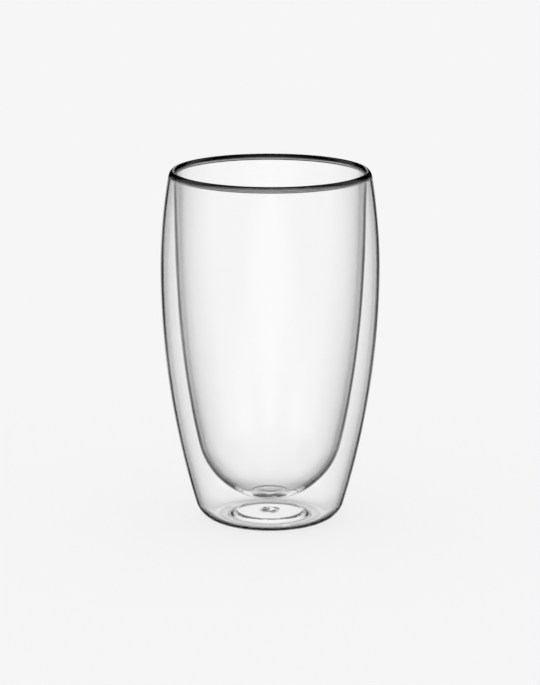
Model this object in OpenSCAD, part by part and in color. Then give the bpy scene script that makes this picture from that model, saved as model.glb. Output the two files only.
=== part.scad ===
// Double walled glass cup. Millimetres, +Z up, origin on the table at the centre of the foot.
// Every piece is turned about Z: each module revolves one closed outline, given as [radius, height].

/* [Cup] */
// Height from the table to the top of the lip
cup_h = 142; // [128:0.5:158]
// Height of the widest place of the outer wall
belly_z = 101.8; // [90:0.2:110]
// How far the outer wall swells beyond the lip, all round
belly_swell = 3.3; // [1.6:0.1:5]

/* [Bowl] */
// Outside diameter of the inner wall where it meets the lip
bowl_d = 76.2; // [70:0.2:82]
// Height of the bowl's lowest point above the table
bowl_floor_z = 8; // [7.2:0.1:14]
// Radius of the bowl's rounded underside
bowl_bottom_r = 29.3; // [25:0.1:33]
// Lean of the bowl's wall, in degrees, where it runs into the rounded bottom
bowl_lean = 13.3; // [9:0.1:15]
// Thickness of the inner wall
inner_wall_t = 1.2; // [0.9:0.1:1.5]
// Thickness at the middle of the bowl's floor, where the glass has gathered
floor_t = 3.3; // [2.2:0.1:4]
// How far the gathered place hangs below the rounded underside
gather_drop = 0.3; // [0.1:0.1:0.9]
// Diameter of the gathered place
gather_d = 16; // [12:0.5:22]

/* [Lip] */
// Height of the lip above the two walls that it joins
lip_h = 2.7; // [2.4:0.1:3.6]
// Height of the air gap's rounded roof above those walls
roof_h = 0.9; // [0.6:0.1:1.2]
// Width of the air gap between the walls, just under the lip
lip_gap = 1.3; // [0.9:0.1:1.8]

/* [Outer wall] */
// Thickness of the outer wall and of the foot
outer_wall_t = 1; // [0.8:0.1:1.3]
// Diameter at which the foot's round corner runs into its flat ring
foot_d = 41.4; // [37:0.2:46]
// Radius of the foot's round corner
foot_corner_r = 9.6; // [7:0.1:12]

/* [Dished base] */
// Diameter of the dished middle of the base
dish_d = 31; // [26:0.5:34]
// How far the dished middle stands above the table
dish_h = 1.8; // [1.1:0.1:2.2]
// Width of the step round the dish on the underside
dish_step_w = 1.6; // [1.2:0.1:2.2]
// Width of the softer step over it, inside the air gap
dish_blend_w = 5; // [4:0.1:5.8]
// How far outside the dish's edge that softer step begins
dish_blend_out = 2.2; // [1.8:0.1:3]
// Diameter of the vent hole in the middle
vent_d = 4; // [3:0.5:5]

/* [Vent seal] */
// Diameter of the seal's two caps
seal_d = 9; // [7:0.5:12]
// Crown of the cap inside the air gap
seal_top_h = 1; // [0.6:0.1:1.4]
// Crown of the cap under the base
seal_foot_h = 0.7; // [0.4:0.1:1]

/* [Hidden] */

// Steps along each curved stretch of an outline
steps = 24;
// Facets round the cup in a preview
$fn = 120;
glass_tint = [0.86, 0.9, 0.92, 0.35];

// Radii that follow from one another, from the bowl outwards
bowl_r = bowl_d / 2;
bore_r = bowl_r - inner_wall_t;
lip_r = bowl_r + lip_gap + outer_wall_t;
belly_r = lip_r + belly_swell;
foot_r = foot_d / 2;
dish_r = dish_d / 2;
vent_r = vent_d / 2;
seal_r = seal_d / 2;
seam_z = cup_h - lip_h;

// Outer wall: two arcs that stand upright at the belly, one up to the seam and one down to the corner
rise = seam_z - belly_z;
upper_r = (rise * rise + belly_swell * belly_swell) / (2 * belly_swell);
upper_c = [belly_r - upper_r, belly_z];
taper = belly_r - foot_r;
drop = belly_z - foot_corner_r;
lower_r = (taper * taper - foot_corner_r * foot_corner_r + drop * drop) / (2 * (taper - foot_corner_r));
lower_c = [belly_r - lower_r, belly_z];
corner_c = [foot_r, foot_corner_r];
corner_a = -atan2(drop, foot_r - lower_c[0]);

// Bowl: a wall that is upright at the seam, bends in by a power of its depth and meets a round bottom
bottom_c = [0, bowl_floor_z + gather_drop + bowl_bottom_r];
join_r = bowl_bottom_r * cos(bowl_lean);
join_z = bottom_c[1] - bowl_bottom_r * sin(bowl_lean);
bowl_depth = seam_z - join_z;
draw_in = bowl_r - join_r;
bend = tan(bowl_lean) * bowl_depth / draw_in;

// Inside of the outer wall where it meets the lip, beside the air gap
gap_reach = upper_r - outer_wall_t;
gap_r = upper_c[0] + gap_reach * cos(seam_angle(gap_reach));

// Points along an arc from one direction to another
function arc(centre, radius, from, to) =
    [for (i = [0:steps]) let (a = from + (to - from) * i / steps) centre + radius * [cos(a), sin(a)]];

// Angle on the upper arc, drawn with a radius, at which it reaches the seam
function seam_angle(radius) = asin(rise / radius);

// Smooth step from 0 to 1
function soft(s) = let (c = min(max(s, 0), 1)) c * c * (3 - 2 * c);

// The outer wall's skin, set in by a depth, from the seam down to the flat ring of the foot
function wall_skin(inset) = concat(
    arc(upper_c, upper_r - inset, seam_angle(upper_r - inset), 0),
    arc(lower_c, lower_r - inset, 0, corner_a),
    arc(corner_c, foot_corner_r - inset, corner_a, -90));

// Half an ellipse on the seam, leaned so that it leaves the outer wall's arc of a reach without a bend
function hood(inner_r, outer_r, high, reach) = let (tilt = -tan(seam_angle(reach)) * high / 2)
    [for (i = [0:steps * 2]) let (a = 180 * i / (steps * 2))
        [inner_r + ((outer_r - inner_r) / 2 + tilt * sin(a)) * (1 + cos(a)), seam_z + high * sin(a)]];

// The base's skin, raised by a depth, from the edge of a step of a width in to the vent
function base_skin(raise, edge_r, width) = concat(
    [for (i = [0:steps]) let (s = i / steps) [edge_r - width * s, raise + dish_h * soft(s)]],
    [[vent_r, raise + dish_h]]);

// The bowl's wall, set in by a depth, from the seam down to the round bottom
function bowl_wall(inset) = [for (i = [0:steps * 2])
    let (s = i / (steps * 2), lean = atan(draw_in * bend * pow(s, bend - 1) / bowl_depth))
    [bowl_r - draw_in * pow(s, bend) - inset * cos(lean), seam_z - bowl_depth * s + inset * sin(lean)]];

// Share of the gathered glass at a radius: it dies away into the wall
function gather(r) = 1 - soft(2 * r / gather_d);

// The bowl's round bottom, from the wall in to the axis, on the underside or the inside
function bowl_bottom(inside) = [for (i = [0:steps * 2])
    let (a = -bowl_lean - (90 - bowl_lean) * i / (steps * 2), share = gather(bowl_bottom_r * cos(a)),
        reach = bowl_bottom_r + (inside ? -inner_wall_t - (floor_t - inner_wall_t - gather_drop) * share
                                        : gather_drop * share))
    bottom_c + reach * [cos(a), sin(a)]];

// An outline's points in the other order
function back(points) = [for (i = [len(points) - 1:-1:0]) points[i]];

// Outlines share their end points where two stretches meet, so repeats are left out
function tidy(points) = [for (i = [0:len(points) - 1])
    if (i == 0 || norm(points[i] - points[i - 1]) > merge_gap) points[i]];
merge_gap = inner_wall_t / 1000;

module turned(outline) {
    color(glass_tint) rotate_extrude() polygon(tidy(outline));
}

// Blown outer wall with its round corner, flat foot ring, dished base and vent hole
module outer_wall() {
    turned(concat(wall_skin(0), base_skin(0, dish_r, dish_step_w),
        back(base_skin(outer_wall_t, dish_r + dish_blend_out, dish_blend_w)), back(wall_skin(outer_wall_t))));
}

// Blown inner wall, which holds the drink
module inner_wall() {
    turned(concat(bowl_wall(0), bowl_bottom(false), back(bowl_bottom(true)), back(bowl_wall(inner_wall_t))));
}

// Fire polished ring that joins the two walls and closes the air gap at the top
module lip_ring() {
    turned(concat(hood(bore_r, lip_r, lip_h, upper_r), back(hood(bowl_r, gap_r, roof_h, gap_reach))));
}

// Half of one of the seal's caps, from its rim to the axis: a flat dome with a crown
function cap(rim_z, crown) = let (radius = (seal_r * seal_r + crown * crown) / (2 * abs(crown)),
        half = asin(seal_r / radius), side = sign(crown))
    [for (i = [0:steps]) let (a = half * (1 - i / steps))
        [radius * sin(a), rim_z + crown + side * radius * (cos(a) - 1)]];

// Drop of glass that closes the vent: a stem in the hole with a cap on each side of the base
module base_seal() {
    top_z = dish_h + outer_wall_t;
    turned(concat(
        back(cap(top_z, seal_top_h)),
        [[vent_r, top_z], [vent_r, dish_h]],
        cap(dish_h, -seal_foot_h)));
}

outer_wall();
inner_wall();
lip_ring();
base_seal();
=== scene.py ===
"""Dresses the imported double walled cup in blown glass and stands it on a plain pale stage."""
import math
from typing import NamedTuple

import bpy
import numpy as np
from bpy.props import FloatProperty, FloatVectorProperty, IntProperty, PointerProperty
from bpy.types import Operator, Panel, PropertyGroup
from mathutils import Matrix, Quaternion, Vector


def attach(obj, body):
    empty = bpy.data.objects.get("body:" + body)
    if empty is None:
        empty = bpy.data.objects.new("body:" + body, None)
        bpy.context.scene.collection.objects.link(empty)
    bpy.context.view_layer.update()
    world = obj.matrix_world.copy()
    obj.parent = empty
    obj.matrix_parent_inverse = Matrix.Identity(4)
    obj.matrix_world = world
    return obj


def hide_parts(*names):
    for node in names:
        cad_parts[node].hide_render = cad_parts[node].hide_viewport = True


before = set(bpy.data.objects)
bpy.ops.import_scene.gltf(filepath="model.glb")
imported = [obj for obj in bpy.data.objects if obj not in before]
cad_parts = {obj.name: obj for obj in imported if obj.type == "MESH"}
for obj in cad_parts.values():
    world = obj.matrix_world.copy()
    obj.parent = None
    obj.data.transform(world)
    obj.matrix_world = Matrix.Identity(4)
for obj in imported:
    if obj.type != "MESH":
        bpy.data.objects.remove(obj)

bl_info = {
    "name": "Double Walled Glass Cup",
    "version": (1, 0, 0),
    "blender": (4, 5, 0),
    "location": "View3D > Sidebar > Glass Cup",
    "description": "Builds a double walled glass cup and its studio",
    "category": "Add Mesh",
}

MM = 0.001


# Sizes and finishes

class CupSizes(PropertyGroup):
    cup_height: FloatProperty(
        name="Cup height", description="From the table to the top of the lip",
        default=142 * MM, unit="LENGTH", precision=4)
    belly_height: FloatProperty(
        name="Belly height", description="Height of the widest place of the outer wall",
        default=101.8 * MM, unit="LENGTH", precision=4)
    belly_swell: FloatProperty(
        name="Belly swell", description="How far the outer wall swells beyond the lip",
        default=3.3 * MM, unit="LENGTH", precision=4)
    bowl_width: FloatProperty(
        name="Bowl width", description="Outside diameter of the inner wall at the lip",
        default=76.2 * MM, unit="LENGTH", precision=4)
    bowl_floor: FloatProperty(
        name="Bowl floor height", description="Height of the bowl's lowest point",
        default=8 * MM, unit="LENGTH", precision=4)
    bottom_radius: FloatProperty(
        name="Bowl bottom radius", description="Radius of the bowl's rounded underside",
        default=29.3 * MM, unit="LENGTH", precision=4)
    bowl_lean: FloatProperty(
        name="Bowl lean", description="Lean of the bowl's wall where it meets its bottom",
        default=math.radians(13.3), subtype="ANGLE")
    inner_thickness: FloatProperty(
        name="Inner wall thickness", description="Thickness of the bowl's wall",
        default=1.2 * MM, unit="LENGTH", precision=4)
    floor_thickness: FloatProperty(
        name="Floor thickness", description="Thickness where the glass has gathered",
        default=3.3 * MM, unit="LENGTH", precision=4)
    gather_drop: FloatProperty(
        name="Gather drop", description="How far the gathered place hangs below the bowl",
        default=0.3 * MM, unit="LENGTH", precision=4)
    gather_width: FloatProperty(
        name="Gather width", description="Diameter of the gathered place in the floor",
        default=16 * MM, unit="LENGTH", precision=4)
    lip_height: FloatProperty(
        name="Lip height", description="Height of the lip above the two walls",
        default=2.7 * MM, unit="LENGTH", precision=4)
    roof_height: FloatProperty(
        name="Roof height", description="Height of the air gap's roof above the two walls",
        default=0.9 * MM, unit="LENGTH", precision=4)
    lip_gap: FloatProperty(
        name="Gap at the lip", description="Width of the air gap just under the lip",
        default=1.3 * MM, unit="LENGTH", precision=4)
    outer_thickness: FloatProperty(
        name="Outer wall thickness", description="Thickness of the outer wall and of the base",
        default=1.0 * MM, unit="LENGTH", precision=4)
    foot_width: FloatProperty(
        name="Foot width", description="Diameter of the flat ring's outer edge",
        default=41.4 * MM, unit="LENGTH", precision=4)
    corner_radius: FloatProperty(
        name="Foot corner radius", description="Radius of the foot's round corner",
        default=9.6 * MM, unit="LENGTH", precision=4)
    dish_width: FloatProperty(
        name="Dish width", description="Diameter of the dished middle of the base",
        default=31 * MM, unit="LENGTH", precision=4)
    dish_height: FloatProperty(
        name="Dish height", description="How far the dish stands above the table",
        default=1.8 * MM, unit="LENGTH", precision=4)
    dish_step: FloatProperty(
        name="Dish step", description="Width of the step round the dish on the underside",
        default=1.6 * MM, unit="LENGTH", precision=4)
    dish_blend: FloatProperty(
        name="Dish blend", description="Width of the softer step inside the air gap",
        default=5 * MM, unit="LENGTH", precision=4)
    blend_out: FloatProperty(
        name="Blend start", description="How far outside the dish the softer step begins",
        default=2.2 * MM, unit="LENGTH", precision=4)
    vent_width: FloatProperty(
        name="Vent width", description="Diameter of the vent hole in the base",
        default=4 * MM, unit="LENGTH", precision=4)
    seal_width: FloatProperty(
        name="Seal width", description="Diameter of the drop of glass on the vent",
        default=9 * MM, unit="LENGTH", precision=4)
    seal_top: FloatProperty(
        name="Seal crown", description="Height of the drop inside the air gap",
        default=1.0 * MM, unit="LENGTH", precision=4)
    seal_foot: FloatProperty(
        name="Seal foot", description="Height of the drop under the base",
        default=0.7 * MM, unit="LENGTH", precision=4)
    around: IntProperty(
        name="Steps around", description="Faces round the cup", default=256, min=32)
    along: IntProperty(
        name="Steps along", description="Faces along each curved stretch", default=56, min=8)
    seal_around: IntProperty(
        name="Steps round the seal", description="Faces round the drop on the vent", default=128, min=32)


class GlassFinish(PropertyGroup):
    ior: FloatProperty(
        name="IOR", description="Refraction of the glass", default=1.472, min=1.0, max=2.0)
    clear: FloatVectorProperty(
        name="Clear glass", description="Colour of the clearest glass",
        size=3, subtype="COLOR", default=(1.0, 1.0, 1.0), min=0, max=1)
    dull: FloatVectorProperty(
        name="Dull glass", description="Colour of the dullest streaks",
        size=3, subtype="COLOR", default=(0.988, 0.988, 0.988), min=0, max=1)
    haze: FloatProperty(
        name="Haze", description="Roughness of the dullest streaks", default=0.012, min=0, max=1)
    cord_depth: FloatProperty(
        name="Cord depth", description="Height of the faint cords in the blown glass",
        default=0.04 * MM, unit="LENGTH", precision=6)
    cord_scale: FloatProperty(
        name="Cord scale", description="Cords to the metre round the walls", default=95.0)
    cord_draw: FloatProperty(
        name="Cord draw", description="Cords to the metre up the walls, as a share of those round them",
        default=0.14, min=0, max=1)
    seal_cord_scale: FloatProperty(
        name="Seal cord scale", description="Cords to the metre in the drop on the vent", default=420.0)
    seal_cord_share: FloatProperty(
        name="Seal cord share", description="Depth of the drop's cords against those of the walls",
        default=1.5)


class Studio(PropertyGroup):
    backdrop: FloatProperty(
        name="Backdrop", description="Brightness of floor and backdrop", default=0.922)
    shadow: FloatProperty(
        name="Shadow", description="Share of the cup's soft shadow that the floor shows",
        default=0.15, min=0, max=1)
    camera_place: FloatVectorProperty(
        name="Camera place", description="Where the camera stands",
        size=3, subtype="TRANSLATION", default=(0.0, -1.2467, 0.36))
    camera_aim: FloatVectorProperty(
        name="Camera aim", description="What the camera looks at",
        size=3, subtype="TRANSLATION", default=(0.0, 0.0, 0.071))
    camera_roll: FloatProperty(
        name="Camera roll", description="Turn of the camera round its line of sight",
        default=math.radians(0.1), subtype="ANGLE")
    lens: FloatProperty(
        name="Lens", description="Focal length in mm for a 36 mm sensor", default=168.15)
    frame_rise: FloatProperty(
        name="Frame rise", description="Rise of the picture's middle, as a share of its longer side",
        default=0.0035, precision=4)


# Outlines
# A stretch of an outline is (points, normals, slot): [radius, height] rows, the normals that
# point out of the glass, and 0 for an open surface or 1 where two pieces are melted together.

OPEN, MELTED = 0, 1

# The seal's swirl: its height as a share of the crown, its turn from the middle to the rim and the
# angle that it starts from, in radians, and how near the base counts as touching it
SWIRL_SHARE = 0.24
SWIRL_TURN = 5.5
SWIRL_START = 0.6
TOUCH = 1e-4 * MM


def arc(centre, radius, start, stop, count, side):
    """Points at a fixed radius from a centre, between two angles; side -1 turns the normals inward."""
    a = np.linspace(start, stop, count + 1)
    rays = np.stack([np.cos(a), np.sin(a)], 1)
    return np.asarray(centre) + radius * rays, side * rays, OPEN


def line(start, stop, normal, count=2, slot=MELTED):
    """Evenly spaced points on a straight line, all with one normal."""
    points = np.linspace(start, stop, count + 1)
    return points, np.tile(np.asarray(normal, float), (count + 1, 1)), slot


def backwards(stretch):
    """The same stretch, walked from its other end."""
    points, normals, slot = stretch
    return points[::-1], normals[::-1], slot


def unit(vectors):
    """Vectors divided by their lengths."""
    return vectors / np.linalg.norm(vectors, axis=1, keepdims=True)


def soft(s):
    """Smooth step from 0 to 1: s squared times (3 - 2 s)."""
    c = np.clip(s, 0, 1)
    return c * c * (3 - 2 * c)


def soft_slope(s):
    """Slope of the smooth step: 6 s (1 - s) between 0 and 1, and 0 outside."""
    c = np.clip(s, 0, 1)
    return 6 * c * (1 - c)


class Outline:
    """The lengths that follow from the sizes, and the stretches that the pieces share."""

    def __init__(self, sizes):
        z = self.sizes = sizes
        self.bowl_r = z.bowl_width / 2
        self.bore_r = self.bowl_r - z.inner_thickness
        self.lip_r = self.bowl_r + z.lip_gap + z.outer_thickness
        self.belly_r = self.lip_r + z.belly_swell
        self.foot_r = z.foot_width / 2
        self.dish_r = z.dish_width / 2
        self.vent_r = z.vent_width / 2
        self.seal_r = z.seal_width / 2
        self.seam_z = z.cup_height - z.lip_height
        self.dish_top = z.dish_height + z.outer_thickness
        # Outer wall: two arcs that stand upright at the belly, and the round corner of the foot
        self.rise = self.seam_z - z.belly_height
        self.upper_r = (self.rise ** 2 + z.belly_swell ** 2) / (2 * z.belly_swell)
        self.upper_c = (self.belly_r - self.upper_r, z.belly_height)
        taper, drop = self.belly_r - self.foot_r, z.belly_height - z.corner_radius
        self.lower_r = (taper ** 2 - z.corner_radius ** 2 + drop ** 2) / (2 * (taper - z.corner_radius))
        self.lower_c = (self.belly_r - self.lower_r, z.belly_height)
        self.corner_c = (self.foot_r, z.corner_radius)
        self.corner_a = -math.atan2(drop, self.foot_r - self.lower_c[0])
        # Bowl: upright at the seam, bent in by a power of its depth, then a round bottom
        self.bottom_c = (0.0, z.bowl_floor + z.gather_drop + z.bottom_radius)
        join_r = z.bottom_radius * math.cos(z.bowl_lean)
        join_z = self.bottom_c[1] - z.bottom_radius * math.sin(z.bowl_lean)
        self.bowl_depth = self.seam_z - join_z
        self.draw_in = self.bowl_r - join_r
        self.bend = math.tan(z.bowl_lean) * self.bowl_depth / self.draw_in
        # Inside of the outer wall where it meets the lip, beside the air gap
        self.gap_reach = self.upper_r - z.outer_thickness
        self.gap_r = self.upper_c[0] + self.gap_reach * math.cos(self.seam_angle(self.gap_reach))

    def seam_angle(self, radius):
        """Angle on an arc round upper_c at which it reaches the seam."""
        return math.asin(self.rise / radius)

    def wall(self, inset, side):
        """Upper arc, lower arc and corner arc, all set in by one depth, from the seam to the foot ring."""
        n = self.sizes.along
        upper, lower, corner = (r - inset for r in (self.upper_r, self.lower_r, self.sizes.corner_radius))
        return [
            arc(self.upper_c, upper, self.seam_angle(upper), 0, n // 2, side),
            arc(self.lower_c, lower, 0, self.corner_a, n, side),
            arc(self.corner_c, corner, self.corner_a, -math.pi / 2, n, side),
        ]

    def base(self, lift, edge_r, width, side):
        """Flat ring in to an edge, then dish height times a smooth step of a width, then flat to the vent."""
        z, n = self.sizes, self.sizes.along
        s = np.linspace(0, 1, n // 2 + 1)
        r = edge_r - width * s
        step = np.stack([r, lift + z.dish_height * soft(s)], 1)
        slope = -z.dish_height * soft_slope(s) / width
        normals = unit(side * np.stack([-slope, np.ones_like(s)], 1))
        top, up = lift + z.dish_height, (0, side)
        return [
            line((self.foot_r, lift), (edge_r, lift), up, n // 8, OPEN),
            (step, normals, OPEN),
            line((r[-1], top), (self.seal_r, top), up, n // 8, OPEN),
            line((self.seal_r, top), (self.vent_r, top), up, n // 14),
        ]

    def hood(self, inner_r, outer_r, high, reach, side):
        """Half an ellipse on the seam, leaned to leave the outer wall's arc of a reach without a bend."""
        half, tilt = (outer_r - inner_r) / 2, -math.tan(self.seam_angle(reach)) * high / 2
        t = np.linspace(0, math.pi, self.sizes.along * 2 + 1)
        c, s = np.cos(t), np.sin(t)
        points = np.stack([inner_r + (half + tilt * s) * (1 + c), self.seam_z + high * s], 1)
        across, rising = tilt * (c + c * c - s * s) - half * s, high * c
        return points, unit(side * np.stack([rising, -across], 1)), OPEN

    def bowl_wall(self, inset, side):
        """Radius bowl_r less draw_in times a power of s, height seam_z less depth times s, then set in."""
        s = np.linspace(0, 1, self.sizes.along * 3 // 2 + 1)
        lean = np.arctan(self.draw_in * self.bend * s ** (self.bend - 1) / self.bowl_depth)
        out = np.stack([np.cos(lean), -np.sin(lean)], 1)
        skin = np.stack([self.bowl_r - self.draw_in * s ** self.bend, self.seam_z - self.bowl_depth * s], 1)
        return skin - inset * out, side * out, OPEN

    def bowl_bottom(self, inside):
        """An arc from the wall to the axis, whose radius changes where the glass has gathered."""
        z = self.sizes
        a = np.linspace(-z.bowl_lean, -math.pi / 2, z.along * 3 // 2 + 1)
        ray, turn = np.stack([np.cos(a), np.sin(a)], 1), np.stack([-np.sin(a), np.cos(a)], 1)
        q = 2 * z.bottom_radius * np.cos(a) / z.gather_width
        extra = z.inner_thickness + z.gather_drop - z.floor_thickness if inside else z.gather_drop
        reach = z.bottom_radius - inside * z.inner_thickness + extra * (1 - soft(q))
        growth = extra * soft_slope(q) * 2 / z.gather_width * z.bottom_radius * np.sin(a)
        side = -1 if inside else 1
        points = np.asarray(self.bottom_c) + reach[:, None] * ray
        normals = unit(side * (reach[:, None] * ray - growth[:, None] * turn))
        points[-1, 0] = 0
        normals[-1] = (0, -side)
        return points, normals, OPEN

    def cap(self, rim_z, crown, side):
        """A flat dome of the seal: its crown times a cosine-shaped fall from the axis to the rim."""
        q = np.linspace(1, 0, self.sizes.along + 1)
        fall = 0.5 + 0.5 * np.cos(np.pi * q)
        slope = -0.5 * np.pi * np.sin(np.pi * q) / self.seal_r * crown
        normals = unit(side * np.stack([-slope, np.ones_like(q)], 1))
        return np.stack([self.seal_r * q, rim_z + crown * fall], 1), normals, OPEN

    def swirl(self, r, a, height):
        """Two arms left by the twist that shut the vent: the height that they add to a cap, and its slopes.

        The height is a share of the crown, times (4 q (1 - q)) squared at the share q of the cap's
        radius, times 1 plus the cosine of twice the angle and a turn that grows with q.
        """
        z = self.sizes
        q = np.clip(r / self.seal_r, 0, 1)
        above, below = height > self.dish_top + TOUCH, height < z.dish_height - TOUCH
        depth = SWIRL_SHARE * (z.seal_foot * below - z.seal_top * above)
        swell, swell_slope = 16 * (q * (1 - q)) ** 2, 32 * q * (1 - q) * (1 - 2 * q)
        phase = 2 * a + SWIRL_TURN * q + SWIRL_START
        wave, wave_slope = 1 + np.cos(phase), -np.sin(phase)
        by_radius = depth * (swell_slope * wave + swell * wave_slope * SWIRL_TURN) / self.seal_r
        return depth * swell * wave, by_radius, 2 * depth * swell * wave_slope


# Turned meshes

# Points of an outline that round to the same multiple of this are one point
WELD = 1e-5 * MM
# The least radius that a slope round the axis is divided by
NEAR_AXIS = 1e-3 * MM


def turned(name, stretches, around, shift=None):
    """Revolves a closed outline: each point [r, z] becomes a ring (r cos a, r sin a, z), or a pole.

    Corner normals are the outline's own, turned with the ring. shift(r, a, z) may add a small height
    to each vertex, and returns that height with its slopes along r and along a.
    """
    points = np.concatenate([s[0] for s in stretches])
    normals = np.concatenate([s[1] for s in stretches])
    slots = np.concatenate([np.full(len(s[0]), s[2]) for s in stretches])
    ends = np.cumsum([len(s[0]) for s in stretches]) - 1

    # A ring of vertices for each point of the outline, or one vertex where it is on the axis
    keys, ring = np.unique(np.round(points / WELD).astype(np.int64), axis=0, return_inverse=True)
    ring = ring.reshape(-1)
    rz = np.zeros(keys.shape)
    rz[ring] = points
    pole = keys[:, 0] == 0
    size = np.where(pole, 1, around)
    first = np.cumsum(size) - size
    col = np.arange(around)
    after = (col + 1) % around
    angle = col * 2 * np.pi / around
    co = np.zeros((size.sum(), 3))
    rows = (first[~pole][:, None] + col).ravel()
    co[rows, 0] = np.outer(rz[~pole, 0], np.cos(angle)).ravel()
    co[rows, 1] = np.outer(rz[~pole, 0], np.sin(angle)).ravel()
    co[rows, 2] = np.repeat(rz[~pole, 1], around)
    co[first[pole], 2] = rz[pole, 1]

    # A row of faces between neighbouring points of a stretch, walked so that they face out of the glass
    i = np.setdiff1d(np.arange(len(points) - 1), ends)
    i = i[ring[i] != ring[i + 1]]
    j = i + 1
    step = points[j] - points[i]
    left = (-step[:, 1] * normals[i, 0] + step[:, 0] * normals[i, 1]) > 0
    i, j = np.where(left, i, j), np.where(left, j, i)

    def corner(which, turn):
        """The vertices of points of the outline at each turn, which is the same vertex at a pole."""
        row = ring[which][:, None]
        return first[row] + np.where(pole[row], 0, turn)

    quad = np.stack([corner(i, col), corner(j, col), corner(j, after), corner(i, after)], -1)
    source = np.stack([i, j, j, i], -1)[:, None, :].repeat(around, 1)
    turns = np.stack([col, col, col + 1, col + 1], -1)[None].repeat(len(i), 0)
    keep = np.ones(quad.shape, bool)
    keep[..., 3] = ~pole[ring[i]][:, None]
    keep[..., 2] = ~pole[ring[j]][:, None]
    index, source, turns = quad[keep], source[keep], turns[keep]
    counts = keep.sum(-1).ravel()
    a = turns * 2 * np.pi / around
    n = np.stack([normals[source, 0] * np.cos(a), normals[source, 0] * np.sin(a), normals[source, 1]], 1)

    if shift is not None:
        r = np.hypot(co[:, 0], co[:, 1])
        height, by_r, by_a = shift(r, np.arctan2(co[:, 1], co[:, 0]), co[:, 2])
        co[:, 2] += height
        by_r, by_a = by_r[index], by_a[index] / np.maximum(points[source, 0], NEAR_AXIS)
        n[:, 0] -= n[:, 2] * (by_r * np.cos(a) - by_a * np.sin(a))
        n[:, 1] -= n[:, 2] * (by_r * np.sin(a) + by_a * np.cos(a))
        n = unit(n)

    mesh = bpy.data.meshes.new(name)
    mesh.vertices.add(len(co))
    mesh.vertices.foreach_set("co", co.astype(np.float32).ravel())
    mesh.loops.add(len(index))
    mesh.loops.foreach_set("vertex_index", index.astype(np.int32))
    mesh.polygons.add(len(counts))
    mesh.polygons.foreach_set("loop_start", (np.cumsum(counts) - counts).astype(np.int32))
    mesh.polygons.foreach_set("material_index", np.repeat(slots[i], around).astype(np.int32))
    mesh.update(calc_edges=True)
    mesh.shade_smooth()
    mesh.normals_split_custom_set(n.astype(np.float32).tolist())
    mesh.validate(clean_customdata=False)
    return linked(name, mesh)


def disc(name, radii, around):
    """A flat disc: a fan round its middle, then a ring of faces from each radius to the next."""
    col = np.arange(around)
    after = (col + 1) % around
    angle = col * 2 * np.pi / around
    x, y = np.outer(radii, np.cos(angle)), np.outer(radii, np.sin(angle))
    co = np.concatenate([np.zeros((1, 3)), np.stack([x, y, np.zeros_like(x)], -1).reshape(-1, 3)])
    k = 1 + around * np.arange(len(radii) - 1)[:, None]
    fan = np.stack([np.zeros(around, int), 1 + col, 1 + after], -1)
    quads = np.stack([k + col, k + around + col, k + around + after, k + after], -1)
    mesh = bpy.data.meshes.new(name)
    mesh.from_pydata(co.tolist(), [], fan.tolist() + quads.reshape(-1, 4).tolist())
    return mesh


def sphere(name, radius, theta, phi):
    """A sphere seen from within: a ring of points round -Z at each angle theta off it, at the angles phi."""
    x, y = np.sin(theta) * np.cos(phi), np.sin(theta) * np.sin(phi)
    co = radius * np.stack([x, y, -np.cos(theta) * np.ones_like(phi)], -1)
    around = len(phi)
    col = np.arange(around)
    after = (col + 1) % around
    k = around * np.arange(len(theta) - 1)[:, None]
    quads = np.stack([k + col, k + after, k + around + after, k + around + col], -1)
    mesh = bpy.data.meshes.new(name)
    mesh.from_pydata(co.reshape(-1, 3).tolist(), [], quads.reshape(-1, 4).tolist())
    return mesh


def linked(name, data):
    """An object for a mesh or a lens, put into the scene."""
    thing = bpy.data.objects.new(name, data)
    bpy.context.scene.collection.objects.link(thing)
    return thing


def paint(mesh, name, values):
    """Gives each vertex of a mesh one number."""
    attribute = mesh.attributes.new(name, "FLOAT", "POINT")
    attribute.data.foreach_set("value", np.ravel(values).astype(np.float32))


# Studio cards, as the cup sees them round the line of sight

class Card(NamedTuple):
    """A card between two angles off the line of sight, near and far, and two angles round it, start and
    stop, counted from straight up to either side. Each pair has a fade, and all are in degrees."""
    tone: float
    near: float
    far: float
    fade: float
    start: float
    stop: float
    end_fade: float


STUDIO_CARDS = (
    Card(0.7, 23, 32, 6, -30, 22, 25),        # strip of light over the backdrop
    Card(0.15, 55, 150, 10, -30, 22, 25),     # dark ceiling
    Card(0.45, 30, 95, 8, 68, 112, 25),       # grey walls at the sides
    Card(0.55, 60, 88, 16, 22, 112, 25),      # tall panels from the walls up to the ceiling
    Card(0.3, 50, 100, 20, 112, 158, 25),     # dim panels low at the sides
    Card(0.7, 140, 240, 80, -60, 240, 20),    # wall behind the camera
    Card(0.95, 92, 150, 20, 68, 112, 40),     # lights beside the camera
    Card(1.1, 95, 220, 60, 110, 250, 90),     # wide light low in front of the cup
)


class Sheet(NamedTuple):
    """The lit sheet behind the cup, in degrees across and up from the line of sight."""
    tone: float = 0.96
    half_width: float = 13
    top: float = 6
    bottom: float = -12
    side_fade: float = 18
    top_fade: float = 3
    bottom_fade: float = 18


def edge(value, limit, fade):
    """0 below a limit and 1 above it, with a smooth fade centred on it."""
    return soft((value - limit) / fade + 0.5)


def window(value, start, stop, fade):
    """1 between two limits and 0 outside, with a smooth fade centred on each."""
    return edge(value, start, fade) * edge(-value, -stop, fade)


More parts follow.
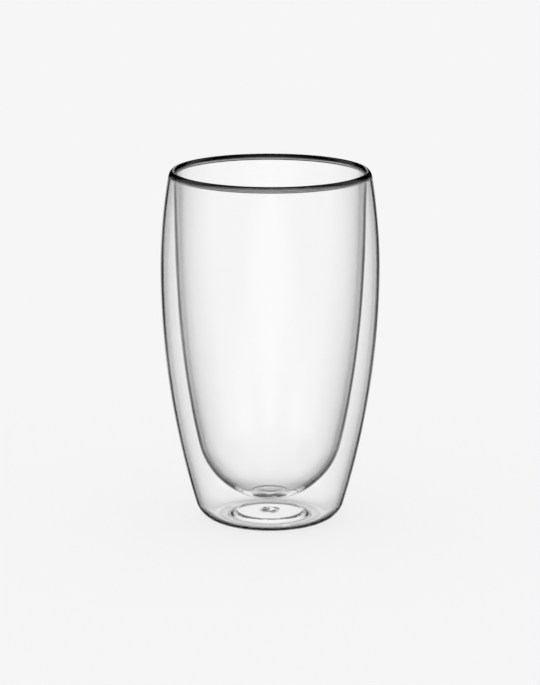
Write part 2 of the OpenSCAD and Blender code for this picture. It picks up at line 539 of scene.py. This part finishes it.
def studio_light(theta, phi):
    """Light from an angle off the line of sight and an angle round it, counted from the right.

    Each card is laid over the ones before it, and the lit sheet over them all.
    """
    off, turn = np.degrees(theta), np.degrees(np.abs((phi + np.pi / 2) % (2 * np.pi) - np.pi))
    across, up = off * np.cos(phi), off * np.sin(phi)
    light = np.zeros_like(across)
    for card in STUDIO_CARDS:
        cover = window(off, card.near, card.far, card.fade)
        cover = cover * window(turn, card.start, card.stop, card.end_fade)
        light += (card.tone - light) * cover
    sheet = Sheet()
    cover = window(across, -sheet.half_width, sheet.half_width, sheet.side_fade)
    cover = cover * edge(-up, -sheet.top, sheet.top_fade) * edge(up, sheet.bottom, sheet.bottom_fade)
    return light + (sheet.tone - light) * cover


# Materials

# Share of light that the matt floor sends back, so that light 1 / FLOOR_PALENESS shows it as white
FLOOR_PALENESS = 0.9
# The noise that sets the streaks: its scale against that of the cords, and where haze begins and is full
STREAK_SHARE = 0.45
HAZE_BEGINS, HAZE_FULL = 0.45, 0.8
# How far the line of sight lies over, from 0 to 1, where the mat's painted sheen begins and where it is full:
# a glow that stands in for the backdrop's reflection in the mat
SHEEN_BEGINS, SHEEN_FULL = 0.35, 0.6
# Strength of the mat's glow, painted light for the lit table under the foot and for the mat's sheen
MAT_LIGHT = 0.97


def new_material(name):
    """A node material with nothing in it but its output."""
    material = bpy.data.materials.new(name)
    material.use_nodes = True
    tree = material.node_tree
    tree.nodes.clear()
    out = tree.nodes.new("ShaderNodeOutputMaterial")
    out.location = (500, 0)
    return material, tree, out


def add(tree, kind, at, **values):
    """A node of a kind, with its place and its inputs or settings."""
    node = tree.nodes.new(kind)
    node.location = at
    for key, value in values.items():
        if key in node.inputs:
            node.inputs[key].default_value = value
        else:
            setattr(node, key, value)
    return node


def mixed(tree, at, factor, first, second):
    """One shader where the factor is 0 and another where it is 1."""
    mix = add(tree, "ShaderNodeMixShader", at)
    for socket, source in zip(mix.inputs, (factor, first, second)):
        tree.links.new(source, socket)
    return mix.outputs[0]


def blown_glass(name, finish, draw, depth, scale):
    """Clear blown glass: cords along the draw bend the light a little, and duller streaks haze it."""
    material, tree, out = new_material(name)
    link = tree.links.new
    place = add(tree, "ShaderNodeTexCoord", (-1100, 0))
    drawn = add(tree, "ShaderNodeMapping", (-900, 0))
    drawn.inputs["Scale"].default_value = (1, 1, draw)
    link(place.outputs["Object"], drawn.inputs["Vector"])
    cord = add(tree, "ShaderNodeTexNoise", (-650, -200), Scale=scale, Detail=2.0, Roughness=0.45)
    link(drawn.outputs[0], cord.inputs["Vector"])
    streak = add(tree, "ShaderNodeTexNoise", (-650, 200), Scale=scale * STREAK_SHARE, Detail=3.0,
                 Roughness=0.6)
    link(drawn.outputs[0], streak.inputs["Vector"])
    tint = add(tree, "ShaderNodeMix", (-350, 250), data_type="RGBA")
    tint.inputs["A"].default_value = (*finish.clear, 1)
    tint.inputs["B"].default_value = (*finish.dull, 1)
    link(streak.outputs["Fac"], tint.inputs["Factor"])
    haze = add(tree, "ShaderNodeMapRange", (-350, 0))
    haze.inputs["From Min"].default_value = HAZE_BEGINS
    haze.inputs["From Max"].default_value = HAZE_FULL
    haze.inputs["To Max"].default_value = finish.haze
    link(streak.outputs["Fac"], haze.inputs["Value"])
    bump = add(tree, "ShaderNodeBump", (-100, -250), Strength=1.0, Distance=depth)
    link(cord.outputs["Fac"], bump.inputs["Height"])
    glass = add(tree, "ShaderNodeBsdfPrincipled", (150, 0), IOR=finish.ior)
    glass.inputs["Transmission Weight"].default_value = 1.0
    link(tint.outputs["Result"], glass.inputs["Base Color"])
    link(haze.outputs["Result"], glass.inputs["Roughness"])
    link(bump.outputs["Normal"], glass.inputs["Normal"])
    link(glass.outputs[0], out.inputs["Surface"])
    return material


def wall_glass(finish):
    """The one clear glass of the walls and the lip."""
    return bpy.data.materials.get("clear_blown_glass") or blown_glass(
        "clear_blown_glass", finish, finish.cord_draw, finish.cord_depth, finish.cord_scale)


def seal_glass(finish):
    """The glass of the drop on the vent: its cords are finer and deeper and weren't drawn out."""
    return blown_glass("seal_melted_glass", finish, 1.0, finish.cord_depth * finish.seal_cord_share,
                       finish.seal_cord_scale)


def melted_join():
    """Faces inside the glass, where two pieces are melted into one: light passes them unbent."""
    material, tree, out = new_material("melted_join")
    inside = add(tree, "ShaderNodeBsdfPrincipled", (150, 0), Alpha=0.0)
    tree.links.new(inside.outputs[0], out.inputs["Surface"])
    return material


def floor_paint(studio):
    """Matt paint: the camera sees the backdrop's tone and a faint shadow, and glass looks through it."""
    material, tree, out = new_material("studio_floor")
    link = tree.links.new
    rays = add(tree, "ShaderNodeLightPath", (-500, 300))
    only = add(tree, "ShaderNodeMath", (-250, 450), operation="MULTIPLY")
    link(rays.outputs["Is Camera Ray"], only.inputs[0])
    only.inputs[1].default_value = 1 - studio.shadow
    seen = add(tree, "ShaderNodeMath", (-250, 300), operation="MAXIMUM")
    link(rays.outputs["Is Glossy Ray"], seen.inputs[0])
    link(rays.outputs["Is Transmission Ray"], seen.inputs[1])
    matt = add(tree, "ShaderNodeBsdfDiffuse", (-250, 100))
    matt.inputs["Color"].default_value = (FLOOR_PALENESS, FLOOR_PALENESS, FLOOR_PALENESS, 1)
    pale = add(tree, "ShaderNodeEmission", (-250, 0), Strength=studio.backdrop)
    clear = add(tree, "ShaderNodeBsdfTransparent", (-250, -150))
    faint = mixed(tree, (-50, 100), only.outputs[0], matt.outputs[0], pale.outputs[0])
    both = mixed(tree, (100, 0), seen.outputs[0], faint, clear.outputs[0])
    link(both, out.inputs["Surface"])
    return material


def painted_glow_and_sheen():
    """Painted light: a white glow where the mesh's painted ring glow says so, and elsewhere a painted sheen
    that glows at a low angle only.
    """
    material, tree, out = new_material("studio_pad")
    link = tree.links.new
    # Painted sheen: the mat glows more as the line of sight lies over, in place of a reflection
    angle = add(tree, "ShaderNodeLayerWeight", (-600, 0), Blend=0.5)
    sheen = add(tree, "ShaderNodeMapRange", (-400, 0))
    sheen.inputs["From Min"].default_value = SHEEN_BEGINS
    sheen.inputs["From Max"].default_value = SHEEN_FULL
    link(angle.outputs["Facing"], sheen.inputs["Value"])
    # Painted glow of the rings, stored on the mat's vertices
    ring = add(tree, "ShaderNodeAttribute", (-400, -250), attribute_name="pale")
    seen = add(tree, "ShaderNodeMath", (-200, -50), operation="MAXIMUM")
    link(sheen.outputs["Result"], seen.inputs[0])
    link(ring.outputs["Fac"], seen.inputs[1])
    clear = add(tree, "ShaderNodeBsdfTransparent", (-50, 150))
    white = add(tree, "ShaderNodeEmission", (-50, -200), Strength=MAT_LIGHT)
    link(mixed(tree, (200, 0), seen.outputs[0], clear.outputs[0], white.outputs[0]), out.inputs["Surface"])
    return material


def surround_light(studio):
    """The light of the cards, or an even sky for rays that have left a matt surface."""
    material, tree, out = new_material("studio_surround")
    link = tree.links.new
    card = add(tree, "ShaderNodeAttribute", (-400, 0), attribute_name="glow")
    rays = add(tree, "ShaderNodeLightPath", (-600, 300))
    lit = add(tree, "ShaderNodeMath", (-400, 300), operation="GREATER_THAN")
    link(rays.outputs["Diffuse Depth"], lit.inputs[0])
    lit.inputs[1].default_value = 0.5
    tone = add(tree, "ShaderNodeMix", (-200, 0), data_type="FLOAT")
    link(lit.outputs[0], tone.inputs["Factor"])
    link(card.outputs["Fac"], tone.inputs["A"])
    tone.inputs["B"].default_value = studio.backdrop / FLOOR_PALENESS
    light = add(tree, "ShaderNodeEmission", (0, 0))
    link(tone.outputs["Result"], light.inputs["Strength"])
    link(light.outputs[0], out.inputs["Surface"])
    return material


def dress(piece, glass, node):
    """Gives a piece its glass and its join, and puts it in the place of its node."""
    join = bpy.data.materials.get("melted_join") or melted_join()
    piece.data.materials.append(glass)
    piece.data.materials.append(join)
    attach(piece, "root")
    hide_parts(node)


def behind_glass(thing, material):
    """Gives a part of the stage its light, and lets only glass and mirrors see it."""
    thing.data.materials.append(material)
    material.cycles.emission_sampling = "NONE"
    thing.visible_camera = thing.visible_diffuse = thing.visible_shadow = False


# Operators

class GLASSCUP_OT_outer_wall(Operator):
    """Blown outer wall with its round corner, flat foot ring and dished base"""
    bl_idname = "glass_cup.outer_wall"
    bl_label = "Outer Wall"

    def execute(self, context):
        shape = Outline(context.scene.cup_sizes)
        z = shape.sizes
        lift = z.outer_thickness
        skin = shape.wall(0, 1) + shape.base(0, shape.dish_r, z.dish_step, -1)
        inner = shape.wall(lift, -1) + shape.base(lift, shape.dish_r + z.blend_out, z.dish_blend, 1)
        vent = line((shape.vent_r, z.dish_height), (shape.vent_r, shape.dish_top), (-1, 0))
        seam = line(inner[0][0][0], skin[0][0][0], (0, 1))
        outline = skin + [vent] + [backwards(s) for s in inner[::-1]] + [seam]
        piece = turned("outer_wall_glass", outline, z.around)
        dress(piece, wall_glass(context.scene.glass_finish), "outer_wall")
        return {"FINISHED"}


class GLASSCUP_OT_inner_wall(Operator):
    """Blown bowl with a thicker place where the glass gathered in its floor"""
    bl_idname = "glass_cup.inner_wall"
    bl_label = "Inner Wall"

    def execute(self, context):
        shape = Outline(context.scene.cup_sizes)
        under = [shape.bowl_wall(0, 1), shape.bowl_bottom(False)]
        inside = [shape.bowl_wall(shape.sizes.inner_thickness, -1), shape.bowl_bottom(True)]
        seam = line(inside[0][0][0], under[0][0][0], (0, 1))
        outline = under + [backwards(s) for s in inside[::-1]] + [seam]
        piece = turned("inner_wall_glass", outline, shape.sizes.around)
        dress(piece, wall_glass(context.scene.glass_finish), "inner_wall")
        return {"FINISHED"}


class GLASSCUP_OT_lip_ring(Operator):
    """Fire polished ring that joins the two walls"""
    bl_idname = "glass_cup.lip_ring"
    bl_label = "Lip Ring"

    def execute(self, context):
        shape = Outline(context.scene.cup_sizes)
        crown = shape.hood(shape.bore_r, shape.lip_r, shape.sizes.lip_height, shape.upper_r, 1)
        roof = shape.hood(shape.bowl_r, shape.gap_r, shape.sizes.roof_height, shape.gap_reach, -1)
        bowl_seam = line(crown[0][-1], roof[0][-1], (0, -1))
        wall_seam = line(roof[0][0], crown[0][0], (0, -1))
        outline = [crown, bowl_seam, backwards(roof), wall_seam]
        piece = turned("lip_ring_glass", outline, shape.sizes.around)
        dress(piece, wall_glass(context.scene.glass_finish), "lip_ring")
        return {"FINISHED"}


class GLASSCUP_OT_base_seal(Operator):
    """Drop of glass that was twisted shut over the vent"""
    bl_idname = "glass_cup.base_seal"
    bl_label = "Base Seal"

    def execute(self, context):
        shape = Outline(context.scene.cup_sizes)
        z = shape.sizes
        low, high = z.dish_height, shape.dish_top
        outline = [
            backwards(shape.cap(high, z.seal_top, 1)),
            line((shape.seal_r, high), (shape.vent_r, high), (0, -1)),
            line((shape.vent_r, high), (shape.vent_r, low), (1, 0)),
            line((shape.vent_r, low), (shape.seal_r, low), (0, 1)),
            shape.cap(low, -z.seal_foot, -1),
        ]
        piece = turned("base_seal_glass", outline, z.seal_around, shape.swirl)
        dress(piece, seal_glass(context.scene.glass_finish), "base_seal")
        return {"FINISHED"}


class GLASSCUP_OT_stage(Operator):
    """Pale floor, a mat of painted glow and painted sheen, backdrop, light and dark cards, soft light and the
    camera
    """
    bl_idname = "glass_cup.stage"
    bl_label = "Stage"

    def execute(self, context):
        scene, studio = context.scene, context.scene.studio
        scene.view_settings.view_transform = "Standard"
        self.camera(scene, studio)
        self.floor(studio)
        self.pad()
        self.surround(scene, studio)
        self.world(scene, studio)
        scene.cycles.max_bounces = 40
        scene.cycles.transmission_bounces = 40
        scene.cycles.glossy_bounces = 24
        scene.cycles.transparent_max_bounces = 48
        return {"FINISHED"}

    def camera(self, scene, studio):
        """A long lens, seen from a little above, as in the photograph."""
        lens = bpy.data.cameras.new("studio_camera")
        camera = linked("studio_camera", lens)
        lens.sensor_width, lens.lens = 36, studio.lens
        lens.shift_y = studio.frame_rise
        lens.clip_start, lens.clip_end = 0.05, 50
        place, aim = Vector(studio.camera_place), Vector(studio.camera_aim)
        camera.location = place
        camera.rotation_mode = "QUATERNION"
        roll = Quaternion((0, 0, 1), studio.camera_roll)
        camera.rotation_quaternion = (aim - place).to_track_quat("-Z", "Y") @ roll
        scene.camera = camera

    def floor(self, studio):
        """A flat disc, whose rings grow by a power."""
        reach, rings, around = 8.0, 24, 96
        radii = reach * (np.arange(1, rings + 1) / rings) ** 3
        floor = linked("studio_floor", disc("studio_floor", radii, around))
        floor.data.materials.append(floor_paint(studio))

    def pad(self):
        """A mat just under the foot, seen through the glass only, that glows with painted light: a painted
        glow for each ring in place of the lit table, and a painted sheen.
        """
        # Painted glow of each ring, in place of the lit table under the foot: none in the middle, full from
        # 10 to 13 mm, 0.35 at the edge
        radii, ring_glow = np.array([8, 10, 13, 21]) * MM, [0, 1, 1, 0.35]
        around, below = 96, 0.3 * MM
        pad = linked("studio_pad", disc("studio_pad", radii, around))
        paint(pad.data, "pale", np.append(0, np.repeat(ring_glow, around)))
        pad.location = (0, 0, -below)
        behind_glass(pad, painted_glow_and_sheen())

    def surround(self, scene, studio):
        """A sphere of cards round the cup, which hangs from the camera and turns with it."""
        radius, rows, cols = 6.0, 180, 256
        theta = np.linspace(0, np.pi, rows + 1)[:, None]
        phi = np.arange(cols) * 2 * np.pi / cols
        surround = linked("studio_surround", sphere("studio_surround", radius, theta, phi))
        paint(surround.data, "glow", studio_light(theta, phi))
        surround.parent = scene.camera
        surround.location = (0, 0, -(Vector(studio.camera_place) - Vector(studio.camera_aim)).length)
        behind_glass(surround, surround_light(studio))

    def world(self, scene, studio):
        """Plain white light all round, and the backdrop's tone where the camera sees it."""
        world = bpy.data.worlds.new("studio_world")
        scene.world = world
        world.use_nodes = True
        tree = world.node_tree
        tree.nodes.clear()
        out = add(tree, "ShaderNodeOutputWorld", (400, 0))
        rays = add(tree, "ShaderNodeLightPath", (-400, 200))
        white = (1, 1, 1, 1)
        sky = add(tree, "ShaderNodeBackground", (0, 100), Color=white,
                  Strength=studio.backdrop / FLOOR_PALENESS)
        backdrop = add(tree, "ShaderNodeBackground", (0, -100), Color=white, Strength=studio.backdrop)
        both = mixed(tree, (200, 0), rays.outputs["Is Camera Ray"], sky.outputs[0], backdrop.outputs[0])
        tree.links.new(both, out.inputs["Surface"])


class GLASSCUP_PT_panel(Panel):
    """Lists the cup's pieces and its stage"""
    bl_label = "Glass Cup"
    bl_idname = "GLASSCUP_PT_panel"
    bl_space_type = "VIEW_3D"
    bl_region_type = "UI"
    bl_category = "Glass Cup"

    def draw(self, context):
        column = self.layout.column(align=True)
        for maker in MAKERS:
            column.operator(maker.bl_idname)
        for group in GROUPS:
            box = self.layout.box()
            holder = getattr(context.scene, group)
            for key in holder.__annotations__:
                box.prop(holder, key)


MAKERS = (GLASSCUP_OT_outer_wall, GLASSCUP_OT_inner_wall, GLASSCUP_OT_lip_ring, GLASSCUP_OT_base_seal,
          GLASSCUP_OT_stage)
GROUPS = {"cup_sizes": CupSizes, "glass_finish": GlassFinish, "studio": Studio}


def register():
    for group in GROUPS.values():
        bpy.utils.register_class(group)
    for maker in (*MAKERS, GLASSCUP_PT_panel):
        bpy.utils.register_class(maker)
    for name, group in GROUPS.items():
        setattr(bpy.types.Scene, name, PointerProperty(type=group))


def unregister():
    for name in GROUPS:
        delattr(bpy.types.Scene, name)
    for maker in (GLASSCUP_PT_panel, *reversed(MAKERS)):
        bpy.utils.unregister_class(maker)
    for group in reversed(GROUPS.values()):
        bpy.utils.unregister_class(group)


def main():
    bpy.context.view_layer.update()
    register()
    bpy.ops.glass_cup.stage()
    bpy.ops.glass_cup.outer_wall()
    bpy.ops.glass_cup.inner_wall()
    bpy.ops.glass_cup.lip_ring()
    bpy.ops.glass_cup.base_seal()


if __name__ == "__main__":
    main()
